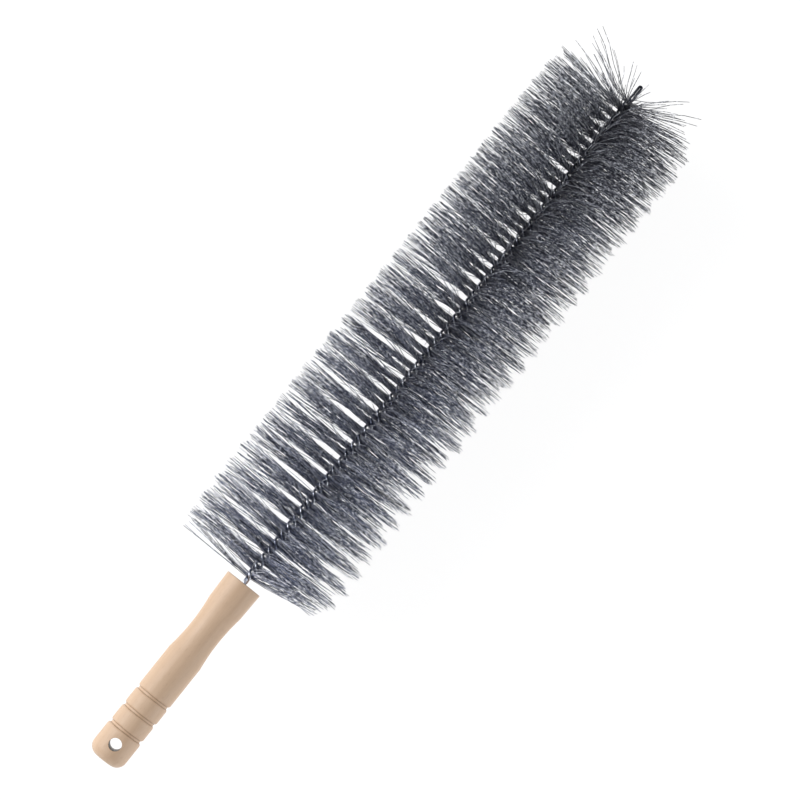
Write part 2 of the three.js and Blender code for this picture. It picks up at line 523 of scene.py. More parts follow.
@dataclass(frozen=True)
class FloorFinish:
    """White acrylic light table, which keeps the shadows faint.

    Attributes:
        tone: Colour of the sheet.
        roughness: How matt it is.
        light: Colour of the light from under it.
        glow: Strength of that light.
    """

    tone: Colour = (0.22, 0.22, 0.22)
    roughness: float = 0.9
    light: Colour = (1.0, 1.0, 1.0)
    glow: float = 0.90

    def material(self) -> bpy.types.Material:
        """Builds the material."""
        recipe = Recipe("light_table")
        return recipe.finish(self.tone, self.roughness, Emission_Color=self.light,
                             Emission_Strength=self.glow)


def smooth_object(name: str, mesh: bpy.types.Mesh) -> bpy.types.Object:
    """Puts a mesh in the scene as an object at the origin, shaded smooth.

    Args:
        name: The object's name.
        mesh: Its mesh, in place in the row frame.

    Returns:
        The object.
    """
    mesh.polygons.foreach_set("use_smooth", [True] * len(mesh.polygons))
    piece = bpy.data.objects.new(name, mesh)
    bpy.context.scene.collection.objects.link(piece)
    return piece


def settled_mesh(piece: bpy.types.Object) -> bpy.types.Mesh:
    """The mesh of an object with its modifiers or its bevel applied.

    Args:
        piece: A mesh or curve object in the scene, which is taken out of it.

    Returns:
        A mesh of its own.
    """
    graph = bpy.context.evaluated_depsgraph_get()
    mesh = bpy.data.meshes.new_from_object(piece.evaluated_get(graph))
    mesh.name = piece.name
    bpy.data.objects.remove(piece)
    return mesh


class SweptBars:
    """Round bars swept along runs of points, all with the same number of points.

    Each strip of a bar has a square of the map that textures are baked to: its wall on the left of the
    square, and the caps of the bar one above the other on its right.
    """

    WALL_START = (0.03, 0.05)
    WALL_SIZE = (0.85, 0.9)
    CAP_COLUMN = 0.95
    CAP_ROWS = (0.25, 0.75)
    CAP_REACH = (0.03, 0.15)

    def __init__(self, name: str, radius: float, rounding: int) -> None:
        """Makes the curve that the bars are swept along.

        Args:
            name: The piece's name.
            radius: Radius of a bar.
            rounding: Bevel resolution of the curve, 0 for a bar of four sides.
        """
        self.curve = bpy.data.curves.new(name, "CURVE")
        self.curve.dimensions = "3D"
        self.curve.bevel_depth = radius
        self.curve.bevel_resolution = rounding
        self.curve.use_fill_caps = True
        self.sides = 4 + 2 * rounding
        self.stations = 0
        self.count = 0

    def lay(self, route: list[Vector], end_share: float = 1.0) -> None:
        """Adds one bar.

        Args:
            route: The points that it runs through.
            end_share: Its radius at both ends, as a share of the radius between them.
        """
        spline = self.curve.splines.new("POLY")
        spline.points.add(len(route) - 1)
        spline.points.foreach_set("co", [number for point in route for number in (*point, 1.0)])
        spline.points.foreach_set("radius", [end_share] + [1.0] * (len(route) - 2) + [end_share])
        spline.use_smooth = True
        self.stations = len(route)
        self.count += 1

    def map_spot(self, vertex: int, strip: int, wrapped: bool, step: int) -> tuple[float, float]:
        """Place of a corner in the square of its strip.

        Args:
            vertex: The corner's number in the mesh, where both caps of every bar come first.
            strip: Steps from ring to ring that share a square.
            wrapped: Whether the corner closes the ring that the square opens with.
            step: The step that the corner's face runs along, or -1 for a cap.

        Returns:
            The place, from 0 to 1 each way.
        """
        ring, corner = divmod(vertex, self.sides)
        if step < 0:
            turn = TURN * corner / self.sides
            return (self.CAP_COLUMN + self.CAP_REACH[0] * math.cos(turn),
                    self.CAP_ROWS[ring % 2] + self.CAP_REACH[1] * math.sin(turn))
        along = (ring - 2 * self.count) % self.stations - step // strip * strip
        around = self.sides if wrapped else corner
        return (self.WALL_START[0] + self.WALL_SIZE[0] * along / strip,
                self.WALL_START[1] + self.WALL_SIZE[1] * around / self.sides)

    def lay_map(self, mesh: bpy.types.Mesh, strip: int) -> None:
        """Lays the bars out on the map that textures are baked to, each strip in a square of its own.

        Args:
            mesh: The swept bars.
            strip: Steps from ring to ring that share a square.
        """
        strips = math.ceil((self.stations - 1) / strip)
        across = math.ceil(math.sqrt(self.count * strips))
        spots: list[float] = []
        for face in mesh.polygons:
            corners = list(face.vertices)
            ring = min(corners) // self.sides
            bar, step = divmod(ring - 2 * self.count, self.stations)
            if ring < 2 * self.count:
                bar, step = ring // 2, -1
            sides = [corner % self.sides for corner in corners]
            wraps = step >= 0 and max(sides) - min(sides) > 1
            row, column = divmod(bar * strips + max(step, 0) // strip, across)
            for corner, side in zip(corners, sides):
                u, v = self.map_spot(corner, strip, wraps and side == 0, step)
                spots += [(column + u) / across, (row + v) / across]
        while mesh.uv_layers:
            mesh.uv_layers.remove(mesh.uv_layers[0])
        mesh.uv_layers.new(name=BAKE_MAP).uv.foreach_set("vector", spots)

    def give_shades(self, mesh: bpy.types.Mesh, draws: random.Random) -> None:
        """Gives every bar a number from 0 to 1 of its own, which its finish reads.

        Args:
            mesh: The swept bars.
            draws: Source of random numbers.
        """
        own = [draws.random() for _ in range(self.count)]
        shades = [shade for shade in own for _ in range(2 * self.sides)]
        shades += [shade for shade in own for _ in range(self.stations * self.sides)]
        mesh.attributes.new(SHADE, "FLOAT", "POINT").data.foreach_set("value", shades)

    def join_caps(self, mesh: bpy.types.Mesh) -> None:
        """Joins the caps to their bars, with a crisp edge round each.

        Args:
            mesh: The swept bars, which are changed.
        """
        joined = bmesh.new()
        joined.from_mesh(mesh)
        bmesh.ops.remove_doubles(joined, verts=joined.verts, dist=WELD)
        for edge in joined.edges:
            edge.smooth = len({len(face.verts) for face in edge.link_faces}) == 1
        joined.to_mesh(mesh)
        joined.free()

    def swept(self, strip: int, draws: Optional[random.Random] = None) -> bpy.types.Object:
        """Sweeps the bars, maps them and joins their caps to them.

        Args:
            strip: Steps from ring to ring that share a square of the map.
            draws: Source of the bars' shades, where they have any.

        Returns:
            The bars as one piece.
        """
        grown = bpy.data.objects.new(self.curve.name, self.curve)
        bpy.context.scene.collection.objects.link(grown)
        mesh = settled_mesh(grown)
        self.lay_map(mesh, strip)
        if draws:
            self.give_shades(mesh, draws)
        piece = smooth_object(self.curve.name, mesh)
        self.join_caps(mesh)
        return piece


@dataclass
class Handle:
    """The turned grip: barrel with three grooves, waist, flared mouth, hanging hole and wire socket.

    Attributes:
        axis: The brush axis.
        barrel_length: Butt to the start of the waist.
        waist_length: Length of the shallow scoop.
        butt_radius: Radius from the butt to the first groove.
        barrel_radius: Radius of the barrel.
        waist_radius: Least radius of the scoop.
        mouth_radius: Radius of the mouth face.
        butt_rounding: Rounding of the butt.
        mouth_rounding: Rounding of the mouth's edge.
        groove_count: Grip grooves.
        first_groove: Butt to the middle of the first groove.
        groove_pitch: From groove to groove.
        groove_floor: Width of a groove's floor.
        groove_depth: Depth of a groove.
        groove_shoulder: Length of the rounded edge either side of a groove.
        hole_radius: Radius of the hanging hole.
        hole_from_butt: Butt to the middle of the hanging hole.
        hole_rounding: Rounding of the hole's edges.
        socket_radius: Radius of the wire socket.
        socket_depth: Depth of the wire socket.
        facets: Facets round the handle.
        hole_facets: Facets round the hanging hole.
        body_steps: Steps along the waist and neck.
        shoulder_steps: Steps along the rounded edge of a groove.
        butt_steps: Steps along the rounding of the butt.
        edge_steps: Steps along the rounding of the mouth's and the hole's edges.
        sliver: Distance under which corners that the drill left are joined.
        rim_slack: How far from the hole's radius a corner of its rim may lie.
        rim_angle: Least angle between the faces at the hole's rim, in radians.
        crisp_angle: Angle between faces, in degrees, past which their edge stays crisp.
        groove_shade_reach: How far the painted shade spreads from the corner of a groove.
        finish: The wood.
    """

    axis: BrushAxis
    barrel_length: float = 0.0643
    waist_length: float = 0.0315
    butt_radius: float = 0.00995
    barrel_radius: float = 0.00968
    waist_radius: float = 0.0085
    mouth_radius: float = 0.0101
    butt_rounding: float = 0.0055
    mouth_rounding: float = 0.0004
    groove_count: int = 3
    first_groove: float = 0.0179
    groove_pitch: float = 0.0106
    groove_floor: float = 0.0014
    groove_depth: float = 0.0009
    groove_shoulder: float = 0.0013
    hole_radius: float = 0.0033
    hole_from_butt: float = 0.0101
    hole_rounding: float = 0.0003
    socket_radius: float = 0.00195
    socket_depth: float = 0.045
    facets: int = 96
    hole_facets: int = 48
    body_steps: int = 40
    shoulder_steps: int = 6
    butt_steps: int = 12
    edge_steps: int = 3
    sliver: float = 0.00012
    rim_slack: float = 0.00003
    rim_angle: float = 0.6
    crisp_angle: float = 38.0
    groove_shade_reach: float = 0.0004
    finish: BeechFinish = field(default_factory=BeechFinish)

    def groove_edges(self) -> list[float]:
        """Distances from the butt of both edges of every groove."""
        middles = [self.first_groove + k * self.groove_pitch for k in range(self.groove_count)]
        return [middle + side * self.groove_floor / 2 for middle in middles for side in (-1, 1)]

    def body_radius(self, along: float) -> float:
        """Radius of the grip past the barrel.

        Args:
            along: Distance from the butt.

        Returns:
            The radius there.
        """
        neck = self.barrel_length + self.waist_length
        off_middle = (along - self.barrel_length - self.waist_length / 2) / (self.waist_length / 2)
        scooped = max(1.0 - off_middle ** 2, 0.0) * (self.barrel_radius - self.waist_radius)
        past_neck = max(along - neck, 0.0) / (self.axis.handle_length - neck)
        return self.barrel_radius - scooped + past_neck * (self.mouth_radius - self.barrel_radius)

    def shoulder(self, edge: float, way: int, radius: float) -> list[tuple[float, float]]:
        """The rounded edge of a groove, from the grip's surface down to the groove's floor.

        Args:
            edge: Distance of the floor's corner from the butt.
            way: -1 where the surface lies towards the butt, 1 towards the mouth.
            radius: Radius of the surface.

        Returns:
            Distances from the butt and radii.
        """
        depth = radius - self.barrel_radius + self.groove_depth
        turns = [math.pi / 2 * k / self.shoulder_steps for k in range(self.shoulder_steps + 1)]
        return [(edge + way * self.groove_shoulder * (1.0 - math.sin(turn)),
                 radius - depth * (1.0 - math.cos(turn))) for turn in turns]

    def outline(self) -> list[tuple[float, float]]:
        """The profile as distances from the butt and radii, from the butt to the socket floor."""
        length = self.axis.handle_length
        points = [(0.0, 0.0), (0.0, self.butt_radius)]
        radius = self.butt_radius
        for low, high in zip(self.groove_edges()[::2], self.groove_edges()[1::2]):
            points += self.shoulder(low, -1, radius)
            radius = self.barrel_radius
            points += self.shoulder(high, 1, radius)[::-1]
        for k in range(self.body_steps + 1):
            along = self.barrel_length + (length - self.barrel_length) * k / self.body_steps
            points.append((along, self.body_radius(along)))
        points += [(length, self.socket_radius), (length - self.socket_depth, self.socket_radius)]
        points.append((length - self.socket_depth, 0.0))
        return points

    def ring(self, turned: bmesh.types.BMesh, along: float, radius: float) -> list[bmesh.types.BMEdge]:
        """The edges of one ring of the turned grip.

        Args:
            turned: The grip.
            along: The ring's distance from the butt.
            radius: Its radius.

        Returns:
            The ring's edges.
        """
        def on_ring(corner: bmesh.types.BMVert) -> bool:
            off = math.hypot(corner.co.y, corner.co.z - self.axis.height)
            place = corner.co.x - self.axis.butt
            return abs(place - along) < SLACK and abs(off - radius) < SLACK
        return [edge for edge in turned.edges if all(on_ring(corner) for corner in edge.verts)]

    def turned_mesh(self) -> bpy.types.Mesh:
        """Spins the profile about the axis and rounds its edges."""
        turned = bmesh.new()
        corners = [turned.verts.new(self.axis.point(along, radius)) for along, radius in self.outline()]
        for first, second in zip(corners, corners[1:]):
            turned.edges.new((first, second))
        bmesh.ops.spin(turned, geom=turned.verts[:] + turned.edges[:], cent=self.axis.point(0.0),
                       axis=(1.0, 0.0, 0.0), angle=TURN, steps=self.facets, use_merge=True)
        bmesh.ops.remove_doubles(turned, verts=turned.verts, dist=SLACK)
        rounds = [(0.0, self.butt_radius, self.butt_rounding, self.butt_steps),
                  (self.axis.handle_length, self.mouth_radius, self.mouth_rounding, self.edge_steps)]
        for along, radius, rounding, steps in rounds:
            bmesh.ops.bevel(turned, geom=self.ring(turned, along, radius), offset=rounding, affect="EDGES",
                            segments=steps, profile=0.5, material=-1, clamp_overlap=False)
        bmesh.ops.recalc_face_normals(turned, faces=turned.faces)
        mesh = bpy.data.meshes.new("handle_turned")
        turned.to_mesh(mesh)
        turned.free()
        return mesh

    def drill(self) -> bpy.types.Object:
        """The drill that leaves the hanging hole, twice as long as the grip is wide, as an object."""
        bit = bmesh.new()
        width = 2 * self.barrel_radius
        bmesh.ops.create_cone(bit, cap_ends=True, segments=self.hole_facets, radius1=self.hole_radius,
                              radius2=self.hole_radius, depth=2 * width,
                              matrix=Matrix.Translation(self.axis.point(self.hole_from_butt)))
        mesh = bpy.data.meshes.new("hole_drill")
        bit.to_mesh(mesh)
        bit.free()
        return smooth_object("hole_drill", mesh)

    def round_hole(self, mesh: bpy.types.Mesh) -> None:
        """Breaks the sharp edges that the drill left.

        Args:
            mesh: The drilled grip, which is changed.
        """
        drilled = bmesh.new()
        drilled.from_mesh(mesh)
        bmesh.ops.remove_doubles(drilled, verts=drilled.verts, dist=self.sliver)
        centre = self.axis.point(self.hole_from_butt)

        def on_rim(corner: bmesh.types.BMVert) -> bool:
            away = (corner.co - centre).to_2d().length
            return abs(away - self.hole_radius) < self.rim_slack
        rim = [edge for edge in drilled.edges if all(on_rim(corner) for corner in edge.verts)
               and len(edge.link_faces) == 2 and edge.calc_face_angle() > self.rim_angle]
        bmesh.ops.bevel(drilled, geom=rim, offset=self.hole_rounding, affect="EDGES",
                        segments=self.edge_steps, profile=0.5, material=-1, clamp_overlap=True)
        drilled.to_mesh(mesh)
        drilled.free()

    def build(self) -> bpy.types.Object:
        """Turns, drills and finishes the grip, and hangs it on the frame.

        Returns:
            The handle.
        """
        grip = smooth_object("handle_grip", self.turned_mesh())
        bit = self.drill()
        cut = grip.modifiers.new("hanging_hole", "BOOLEAN")
        cut.operation = "DIFFERENCE"
        cut.solver = "EXACT"
        cut.object = bit
        mesh = settled_mesh(grip)
        bpy.data.objects.remove(bit)
        self.round_hole(mesh)
        piece = smooth_object("turned_handle", mesh)
        mesh.set_sharp_from_angle(angle=math.radians(self.crisp_angle))
        # The finish paints shade into the groove corners and onto the hanging hole's wall.
        corners = [self.axis.butt + edge for edge in self.groove_edges()]
        mesh.materials.clear()
        bore = self.axis.point(self.hole_from_butt)
        mesh.materials.append(self.finish.material(corners, self.groove_shade_reach, bore, self.hole_radius))
        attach(piece, BODY)
        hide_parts("handle")
        return piece


@dataclass
class CoreWire:
    """One length of wire, folded at the tip, its two legs twisted left-handed round the filaments.

    Attributes:
        axis: The brush axis.
        radius: Radius of the wire.
        pitch: Length of one full turn of the twist.
        close_radius: A leg's distance from the axis where nothing parts the legs.
        spread_radius: A leg's distance from the axis where the legs clamp filaments.
        tail_depth: How far the tails reach into the handle.
        bare_length: Mouth to the first filament.
        tip_length: Last filament to the outside of the fold.
        twist_run_out: Last filament to where the legs stop turning.
        opening_lead: How far before the first filament the legs start to part.
        opening_end: How far past the first filament they are fully parted.
        closing_length: Length over which the legs close up before their twist ends.
        closing_end: How far past the end of their twist they are closed.
        steps_per_turn: Points for each turn of a leg.
        fold_steps: Steps round the fold.
        rounding: Bevel resolution of the wire.
        finish: The metal.
    """

    axis: BrushAxis
    radius: float = 0.0007
    pitch: float = 0.0102
    close_radius: float = 0.00072
    spread_radius: float = 0.00155
    tail_depth: float = 0.0447
    bare_length: float = 0.0031
    tip_length: float = 0.0082
    twist_run_out: float = 0.000754
    opening_lead: float = 0.001
    opening_end: float = 0.002
    closing_length: float = 0.003
    closing_end: float = 0.00075
    steps_per_turn: int = 20
    fold_steps: int = 14
    rounding: int = 3
    finish: SteelFinish = field(default_factory=SteelFinish)

    @property
    def first_filament(self) -> float:
        """Butt to the first filament."""
        return self.axis.handle_length + self.bare_length

    @property
    def last_filament(self) -> float:
        """Butt to the last filament."""
        return self.axis.wire_tip - self.tip_length

    @property
    def twist_end(self) -> float:
        """Butt to where the legs stop turning."""
        return self.last_filament + self.twist_run_out

    def leg_angle(self, along: float) -> float:
        """Direction of the first leg, which ends level at the tip.

        Args:
            along: Distance from the butt.

        Returns:
            The angle from +Y towards +Z.
        """
        return TURN * (self.twist_end - min(along, self.twist_end)) / self.pitch

    def leg_radius(self, along: float) -> float:
        """A leg's distance from the axis.

        Args:
            along: Distance from the butt.

        Returns:
            The distance.
        """
        first, last = self.first_filament, self.twist_end
        opened = ease(along, first - self.opening_lead, first + self.opening_end)
        closed = ease(along, last - self.closing_length, last + self.closing_end)
        return self.close_radius + (opened - closed) * (self.spread_radius - self.close_radius)

    def leg(self, turned_by: float) -> list[Vector]:
        """The points of one leg from its tail to the fold.

        Args:
            turned_by: Angle added to the leg's direction.

        Returns:
            The points.
        """
        tail = self.axis.handle_length - self.tail_depth
        end = self.twist_end + self.closing_length
        steps = round((end - tail) / self.pitch * self.steps_per_turn)
        stations = [tail + (end - tail) * k / steps for k in range(steps + 1)]
        return [self.axis.point(s, self.leg_radius(s), self.leg_angle(s) + turned_by) for s in stations]

    def fold(self) -> list[Vector]:
        """The half circle at the tip, from the first leg to the second."""
        centre = self.axis.wire_tip - self.radius - self.close_radius
        turns = [math.pi * k / self.fold_steps for k in range(self.fold_steps + 1)]
        shape = [(self.close_radius * math.sin(t), self.close_radius * math.cos(t)) for t in turns]
        return [self.axis.point(centre + forward, across) for forward, across in shape]

    def build(self) -> bpy.types.Object:
        """Bends the wire, gives it its metal and hangs it on the frame.

        Returns:
            The wire.
        """
        route = self.leg(0.0) + self.fold() + self.leg(math.pi)[::-1]
        bent = SweptBars("twisted_wire", self.radius, self.rounding)
        bent.lay(route)
        piece = bent.swept(self.steps_per_turn)
        piece.data.materials.clear()
        start, end = self.axis.butt + self.first_filament, self.axis.butt + self.axis.wire_tip
        piece.data.materials.append(self.finish.material(start, end))
        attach(piece, BODY)
        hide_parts("core_wire")
        return piece


@dataclass(frozen=True)
class Between:
    """A value that changes evenly from one place to another.

    Attributes:
        start: The value at the first place.
        end: The value at the second place.
    """

    start: float
    end: float

    def at(self, share: float) -> float:
        """The value where a share of the way is done."""
        return self.start + (self.end - self.start) * share

    def draw(self, draws: random.Random) -> float:
        """A random value from start to end."""
        return draws.uniform(self.start, self.end)


@dataclass(frozen=True)
class Stance:
    """Where one end of a filament leaves the core, and which way it points.

    Attributes:
        along: Distance from the butt.
        progress: Share of the brush between the handle and the filament.
        leg: Direction of the wire's first leg there.
        side: Which end of the filament it is.
    """

    along: float
    progress: float
    leg: float
    side: Side

    @property
    def out(self) -> float:
        """Direction of the filament, square to the wire's legs."""
        return self.leg + self.side.value * math.pi / 2

    @property
    def leftward(self) -> float:
        """1 where it points to the left, -1 to the right."""
        return math.cos(self.out)

    @property
    def upward(self) -> float:
        """1 where it points up, -1 down."""
        return math.sin(self.out)

    @property
    def left_share(self) -> float:
        """0 where it points to the right, 1 to the left."""
        return (1.0 + self.leftward) / 2


@dataclass
class Filaments:
    """The spiral of filaments, each clamped at its middle between the legs of the wire.

    Left and right are as seen from the handle. A curve is the power that something grows by, from the
    core to the tip of a filament.

    Attributes:
        axis: The brush axis.
        wire: The wire that clamps them.
        nodes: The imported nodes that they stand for, from the handle to the tip.
        count: Filaments in all, before some are left out.
        radius: Radius of one filament.
        rounding: Bevel resolution of a filament.
        tip_share: Radius of a filament's tips, as a share of its own.
        stations: Where a filament's points lie past the core, as shares of its free length.
        reach: Radius of the brush.
        lopsided: How much further the brush reaches on its left, and less on its right, by the tip.
        root_reach: Where a filament leaves the core and starts to lean.
        layer: Half the thickness of the clamped layer.
        bow: How far a filament bows out of straight.
        floor_gap: Least height of a filament above the floor.
        pair_lean: How far neighbouring half turns lean towards each other, from handle to tip.
        pair_share: Share of that lean, from right to left.
        pair_curve: Curve of that lean, from right to left.
        root_lean: Share of that lean that a filament has where it leaves the core, from right to left.
        lock_lean: How far the locks stray along the brush at the tips.
        lock_turn: How far the locks stray round the brush, in radians.
        lock_size: Length of brush over which the locks change.
        lock_rate: How fast the locks change round the brush.
        lock_short: How much shorter the outer filaments of a lock are than its middle, from right to left.
        lock_short_fade: Share of that loss, from handle to tip.
        lock_short_power: How late that loss sets in, from the middle of a lock outwards.
        press: How far upright filaments are pressed over to the right, in radians, from handle to tip.
        press_power: How much the press is kept to the most upright filaments.
        stray_lean: How far single filaments stray along the brush at the tips.
        stray_share: Share of that straying, from right to left.
        stray_curve: Curve of the straying, from handle to tip.
        stray_right: Share of that change that filaments on the right have already by the handle.
        stray_turn: How far single filaments stray round the brush, in radians.
        stray_calm: Share of the straying that upright filaments lack.
        turn_curve: Curve of the turn round the brush, from handle to tip.
        root_stray: Share of the straying that a filament has where it leaves the core, from handle to tip.
        ragged: How far the tips fall short of the brush radius, from right to left.
        worn_share: Share of the filaments that are worn short, from right to left.
        worn_fade: Share of those that there are, from handle to tip.
        worn_loss: Least and most that such a filament has lost.
        tip_splay: Lean of the last filaments towards the tip, in degrees.
        tip_splay_fade: Length over which that lean fades.
        tip_spread: Least and most of that lean that a filament takes, as shares.
        mouth_splay: Lean of the first filaments towards the tip, in degrees.
        mouth_splay_fade: Length over which that lean fades.
        mouth_spread: Least and most of that lean that a filament takes, as shares.
        mouth_relief: Share that is taken off that lean, from right to left.
        splay_growth: Share of its lean that a filament has, from core to tip, where it is held at 1.
        trim: Most that a filament has lost if it lies along the axis, as a share of its length.
        trim_spread: How much less than that others have lost.
        trim_spared: How much less again a few have lost.
        trim_rarity: How rare those few are.
        fullness: Share of the filaments that stand, from handle to tip.
        end_fullness: Share of those that stand, from an end of the brush to where it is full.
        mouth_thin: Length by the handle over which the brush gets full.
        tip_thin: Length by the tip over which it does.
        parting: Share of upright filaments that the twist has let go, from handle to tip.
        parting_edge: How upright a filament is where the parting starts, and where it is full.
        seed: Start of the random draws.
        finish: The nylon.
    """

    axis: BrushAxis
    wire: CoreWire
    nodes: tuple[str, ...]
    count: int = 5000
    radius: float = 0.000175
    rounding: int = 0
    tip_share: float = 0.75
    stations: tuple[float, ...] = (0.22, 0.48, 0.75, 1.0)
    reach: float = 0.0450
    lopsided: float = 0.0008
    root_reach: float = 0.0026
    layer: float = 0.0006
    bow: float = 0.00035
    floor_gap: float = 0.0003
    pair_lean: Between = Between(0.0015, 0.0006)
    pair_share: Between = Between(0.8, 1.0)
    pair_curve: Between = Between(1.4, 0.6)
    root_lean: Between = Between(0.0, 0.3)
    lock_lean: float = 0.0012
    lock_turn: float = 0.10
    lock_size: float = 0.0119
    lock_rate: float = 3.1
    lock_short: Between = Between(0.007875, 0.001575)
    lock_short_fade: Between = Between(1.0, 0.55)
    lock_short_power: float = 1.5
    press: Between = Between(0.25, 0.1125)
    press_power: int = 5
    stray_lean: float = 0.0027
    stray_share: Between = Between(0.7, 1.0)
    stray_curve: Between = Between(1.2, 0.6)
    stray_right: float = 0.4
    stray_turn: float = 0.14
    stray_calm: float = 0.25
    turn_curve: Between = Between(0.5, 0.2)
    root_stray: Between = Between(0.0, 0.18)
    ragged: Between = Between(0.00168, 0.00056)
    worn_share: Between = Between(0.45, 0.15)
    worn_fade: Between = Between(1.0, 0.65)
    worn_loss: Between = Between(0.0, 0.026)
    tip_splay: float = 48.0
    tip_splay_fade: float = 0.0036
    tip_spread: Between = Between(0.25, 1.3)
    mouth_splay: float = 13.0
    mouth_splay_fade: float = 0.008
    mouth_spread: Between = Between(0.3, 1.3)
    mouth_relief: Between = Between(0.0, 0.5)
    splay_growth: Between = Between(0.55, 1.15)
    trim: float = 0.88
    trim_spread: float = 0.4
    trim_spared: float = 0.36
    trim_rarity: int = 6
    fullness: Between = Between(0.63, 1.0)
    end_fullness: Between = Between(0.07, 1.0)
    mouth_thin: float = 0.0045
    tip_thin: float = 0.007
    parting: Between = Between(0.55, 0.3025)
    parting_edge: Between = Between(0.86, 0.97)
    seed: int = 7
    finish: FilamentFinish = field(default_factory=FilamentFinish)

    def progress(self, along: float) -> float:
        """Share of the brush between the handle and a place, 0 at the first filament and 1 at the last."""
        return (along - self.wire.first_filament) / (self.wire.last_filament - self.wire.first_filament)

    def stance(self, along: float, side: Side) -> Stance:
        """The stance of one end of the filament that is clamped at a distance from the butt."""
        return Stance(along, self.progress(along), self.wire.leg_angle(along), side)

    def stands(self, along: float, draws: random.Random) -> bool:
        """Whether a filament stands at a place, which fewer do at both ends.

        Args:
            along: Distance from the butt.
            draws: Source of random numbers.

        Returns:
            True where one stands.
        """
        progress = self.progress(along)
        from_end = min((along - self.wire.first_filament) / self.mouth_thin,
                       (self.wire.last_filament - along) / self.tip_thin)
        upright = abs(math.cos(self.wire.leg_angle(along)))
        parted = self.parting.at(progress) * ease(upright, self.parting_edge.start, self.parting_edge.end)
        full = self.fullness.at(progress) * min(self.end_fullness.at(from_end), 1.0)
        return draws.random() < full * (1.0 - parted)

    def splay(self, stance: Stance, draws: random.Random) -> float:
        """Lean of a filament by where it stands, which grows towards both ends of the brush.

        Args:
            stance: Where it stands and points.
            draws: Source of random numbers.

        Returns:
            The lean towards the tip, in radians.
        """
        from_tip = (self.wire.last_filament - stance.along) / self.tip_splay_fade
        from_mouth = (stance.along - self.wire.first_filament) / self.mouth_splay_fade
        tip = self.tip_splay * math.exp(-from_tip) * self.tip_spread.draw(draws)
        mouth = self.mouth_spread.draw(draws) - self.mouth_relief.at(stance.left_share)
        return math.radians(tip + self.mouth_splay * math.exp(-from_mouth) * mouth)

    def calm(self, stance: Stance) -> float:
        """Share of the straying that a filament has, which is less where it points up or down."""
        return 1.0 - self.stray_calm * stance.upward ** 2

    def turn(self, stance: Stance, lock: Vector, draws: random.Random) -> float:
        """How far the tip of a filament is turned round the brush.

        Args:
            stance: Where it stands and points.
            lock: Where it is in the noise that sets the locks.
            draws: Source of random numbers.

        Returns:
            The turn in radians.
        """
        turn = noise.noise(lock) * self.lock_turn + draws.gauss(0.0, self.stray_turn) * self.calm(stance)
        return turn + self.press.at(stance.progress) * stance.upward ** self.press_power

    def stray(self, stance: Stance, lock: Vector, draws: random.Random) -> float:
        """How far the tip of a filament strays along the brush, never towards the handle next to it.

        Args:
            stance: Where it stands and points.
            lock: Where it is in the noise that sets the locks.
            draws: Source of random numbers.

        Returns:
            The distance towards the tip.
        """
        stray = noise.noise(lock.zxy) * self.lock_lean
        share = self.stray_share.at(stance.left_share) * self.calm(stance)
        stray += draws.gauss(0.0, self.stray_lean) * share
        first = self.wire.first_filament
        free = ease(stance.along, first, first + self.mouth_splay_fade)
        return stray * free + abs(stray) * (1.0 - free)

    def shortfall(self, stance: Stance, off_middle: float, draws: random.Random) -> float:
        """How much shorter a filament is than the brush radius.

        Args:
            stance: Where it stands and points.
            off_middle: How far its tip lies from the middle of its lock, along the brush.
            draws: Source of random numbers.

        Returns:
            The length that is missing.
        """
        outer = min(abs(off_middle) / (self.wire.pitch / 2), 1.0) ** self.lock_short_power
        short = self.lock_short.at(stance.left_share) * self.lock_short_fade.at(stance.progress) * outer
        short += abs(draws.gauss(0.0, self.ragged.at(stance.left_share)))
        if draws.random() < self.worn_share.at(stance.left_share) * self.worn_fade.at(stance.progress):
            short += self.worn_loss.draw(draws)
        return short

    def free_length(self, stance: Stance, aside: float, splay: float, draws: random.Random) -> float:
        """Length of one end of a filament past the core.

        Args:
            stance: Where it stands and points.
            aside: How far its tip leans and strays along the brush.
            splay: Its lean towards the tip, in radians.
            draws: Source of random numbers.

        Returns:
            The length.
        """
        length = self.reach + self.lopsided * stance.leftward * stance.progress - self.root_reach
        length -= self.shortfall(stance, aside - stance.side.value * self.wire.pitch / 4, draws)
        kept = draws.random()
        trim = self.trim - self.trim_spread * kept - self.trim_spared * kept ** self.trim_rarity
        return length * (1.0 - trim * abs(math.sin(splay)))

